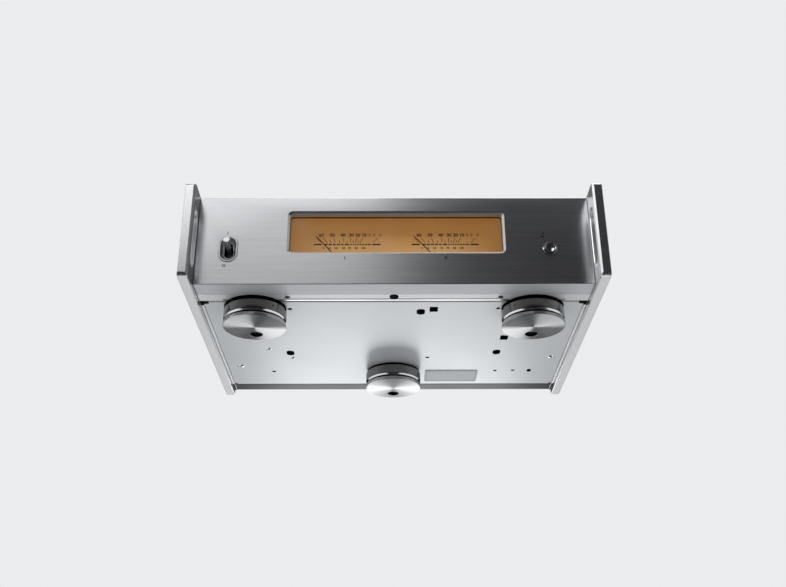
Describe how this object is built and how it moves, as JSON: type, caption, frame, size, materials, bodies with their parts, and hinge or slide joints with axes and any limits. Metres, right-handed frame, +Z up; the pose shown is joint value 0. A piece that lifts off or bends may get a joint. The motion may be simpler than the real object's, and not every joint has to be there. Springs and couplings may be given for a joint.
{
  "type": "stereo power amplifier",
  "caption": "Compact stereo power amplifier with needle meters behind an amber window, thick side plates with finger slots, a toggle power lever, and turned pinpoint feet.",
  "frame": {"origin": "floor level under the middle of the outer box, where the feet stand", "axes": "+X to the right as seen from the front, +Y from the front panel to the rear connectors, +Z up"},
  "size_m": [0.29, 0.249, 0.0845],
  "materials": {
    "face_aluminium": "brushed and clear anodised, grain along the width",
    "side_aluminium": "fine satin anodised with bright chamfers",
    "case_steel": "satin plated sheet steel",
    "bottom_sheet": "smooth satin silver paint",
    "cover_sheet": "smooth satin silver paint",
    "rear_sheet": "satin dark grey paint",
    "window": "clear acrylic",
    "dial": "amber translucent dial, lit from behind",
    "needle_ink": "blue-black paint",
    "bright_metal": "polished",
    "foot_metal": "turned, with bright rims",
    "dark_fastener": "black oxide",
    "contact_gold": "gold plated",
    "black_plastic": "moulded",
    "black_knob": "moulded",
    "red_knob": "moulded",
    "switch_steel": "plated",
    "winding": "lacquered copper winding on an iron core",
    "circuit_board": "green solder mask",
    "heat_sink": "extruded, dark anodised"
  },
  "bodies": {
    "chassis": {"front_panel": "face_aluminium", "side_plate_left": "side_aluminium", "side_plate_right": "side_aluminium", "meter_window": "window", "dial_plate": "dial", "meter_left": "black_plastic", "meter_right": "black_plastic", "front_board": "circuit_board", "switch_bezel": "bright_metal", "power_switch": "black_plastic", "button_ring": "bright_metal", "front_chassis": "case_steel", "side_rail_left": "case_steel", "side_rail_right": "case_steel", "bottom_plate": "bottom_sheet", "rear_panel": "rear_sheet", "top_cover": "cover_sheet", "mains_inlet": "black_plastic", "input_switch": "switch_steel", "mode_switch": "switch_steel", "trigger_jack": "switch_steel", "transformer": "winding", "transformer_clamp": "switch_steel", "supply_board": "circuit_board", "line_board": "circuit_board", "amplifier_module_left": "heat_sink", "amplifier_module_right": "heat_sink", "foot_collar_front_left": "foot_metal", "foot_screw_front_left": "dark_fastener", "foot_collar_front_right": "foot_metal", "foot_screw_front_right": "dark_fastener", "foot_collar_rear": "foot_metal", "foot_screw_rear": "dark_fastener", "balanced_socket_left": "black_plastic", "phono_socket_left": "contact_gold", "balanced_socket_right": "black_plastic", "phono_socket_right": "contact_gold", "post_base_left_minus": "contact_gold", "post_base_left_plus": "contact_gold", "post_base_right_minus": "contact_gold", "post_base_right_plus": "contact_gold"},
    "power_lever": {"power_lever": "bright_metal"},
    "meter_button": {"meter_button": "bright_metal"},
    "needle_left": {"needle_left": "needle_ink"},
    "needle_right": {"needle_right": "needle_ink"},
    "input_slider": {"input_slider": "black_plastic"},
    "mode_slider": {"mode_slider": "black_plastic"},
    "clamp_left_minus": {"post_clamp_left_minus": "contact_gold"},
    "knob_left_minus": {"post_knob_left_minus": "black_knob"},
    "clamp_left_plus": {"post_clamp_left_plus": "contact_gold"},
    "knob_left_plus": {"post_knob_left_plus": "red_knob"},
    "clamp_right_minus": {"post_clamp_right_minus": "contact_gold"},
    "knob_right_minus": {"post_knob_right_minus": "black_knob"},
    "clamp_right_plus": {"post_clamp_right_plus": "contact_gold"},
    "knob_right_plus": {"post_knob_right_plus": "red_knob"},
    "release_tab_left": {"release_tab_left": "switch_steel"},
    "release_tab_right": {"release_tab_right": "switch_steel"},
    "foot_disc_front_left": {"foot_disc_front_left": "foot_metal"},
    "foot_disc_front_right": {"foot_disc_front_right": "foot_metal"},
    "foot_disc_rear": {"foot_disc_rear": "foot_metal"}
  },
  "joints": [
    {"name": "power_lever_tilt", "type": "hinge", "parent": "chassis", "child": "power_lever", "pos_m": [-0.1155, -0.0948, 0.0421], "axis": [1, 0, 0], "range_deg": [0, 15]},
    {"name": "meter_button_press", "type": "slide", "parent": "chassis", "child": "meter_button", "axis": [0, 1, 0], "range_m": [0, 0.0012], "stiffness_N_per_m": 600, "springref_m": -0.0005},
    {"name": "needle_left_swing", "type": "hinge", "parent": "chassis", "child": "needle_left", "pos_m": [-0.0332, -0.0984, 0.0307], "axis": [0, 1, 0], "range_deg": [0, 82], "stiffness_Nm_per_rad": 0.00005, "springref_deg": -17.19},
    {"name": "needle_right_swing", "type": "hinge", "parent": "chassis", "child": "needle_right", "pos_m": [0.0362, -0.0984, 0.0307], "axis": [0, 1, 0], "range_deg": [0, 82], "stiffness_Nm_per_rad": 0.00005, "springref_deg": -17.19},
    {"name": "input_slider_slide", "type": "slide", "parent": "chassis", "child": "input_slider", "axis": [1, 0, 0], "range_m": [0, 0.004]},
    {"name": "mode_slider_slide", "type": "slide", "parent": "chassis", "child": "mode_slider", "axis": [1, 0, 0], "range_m": [0, 0.008]},
    {"name": "clamp_left_minus_slide", "type": "slide", "parent": "chassis", "child": "clamp_left_minus", "axis": [0, 1, 0], "range_m": [0, 0.0024]},
    {"name": "knob_left_minus_turn", "type": "hinge", "parent": "clamp_left_minus", "child": "knob_left_minus", "pos_m": [-0.0535, 0.117, 0.0416], "axis": [0, 1, 0], "range_deg": [0, 1080]},
    {"name": "clamp_left_plus_slide", "type": "slide", "parent": "chassis", "child": "clamp_left_plus", "axis": [0, 1, 0], "range_m": [0, 0.0024]},
    {"name": "knob_left_plus_turn", "type": "hinge", "parent": "clamp_left_plus", "child": "knob_left_plus", "pos_m": [-0.0345, 0.117, 0.0416], "axis": [0, 1, 0], "range_deg": [0, 1080]},
    {"name": "clamp_right_minus_slide", "type": "slide", "parent": "chassis", "child": "clamp_right_minus", "axis": [0, 1, 0], "range_m": [0, 0.0024]},
    {"name": "knob_right_minus_turn", "type": "hinge", "parent": "clamp_right_minus", "child": "knob_right_minus", "pos_m": [-0.0015, 0.117, 0.0416], "axis": [0, 1, 0], "range_deg": [0, 1080]},
    {"name": "clamp_right_plus_slide", "type": "slide", "parent": "chassis", "child": "clamp_right_plus", "axis": [0, 1, 0], "range_m": [0, 0.0024]},
    {"name": "knob_right_plus_turn", "type": "hinge", "parent": "clamp_right_plus", "child": "knob_right_plus", "pos_m": [0.0175, 0.117, 0.0416], "axis": [0, 1, 0], "range_deg": [0, 1080]},
    {"name": "release_tab_left_press", "type": "slide", "parent": "chassis", "child": "release_tab_left", "axis": [0, -1, 0], "range_m": [0, 0.0018], "stiffness_N_per_m": 600, "springref_m": -0.0005},
    {"name": "release_tab_right_press", "type": "slide", "parent": "chassis", "child": "release_tab_right", "axis": [0, -1, 0], "range_m": [0, 0.0018], "stiffness_N_per_m": 600, "springref_m": -0.0005},
    {"name": "foot_disc_front_left_drop", "type": "slide", "parent": "chassis", "child": "foot_disc_front_left", "axis": [0, 0, 1], "range_m": [-0.0008, 0]},
    {"name": "foot_disc_front_right_drop", "type": "slide", "parent": "chassis", "child": "foot_disc_front_right", "axis": [0, 0, 1], "range_m": [-0.0008, 0]},
    {"name": "foot_disc_rear_drop", "type": "slide", "parent": "chassis", "child": "foot_disc_rear", "axis": [0, 0, 1], "range_m": [-0.0008, 0]}
  ],
  "couplings": [
    {"joint": "knob_left_minus_turn", "follows": "clamp_left_minus_slide", "rad_per_m": 7854},
    {"joint": "knob_left_plus_turn", "follows": "clamp_left_plus_slide", "rad_per_m": 7854},
    {"joint": "knob_right_minus_turn", "follows": "clamp_right_minus_slide", "rad_per_m": 7854},
    {"joint": "knob_right_plus_turn", "follows": "clamp_right_plus_slide", "rad_per_m": 7854}
  ]
}
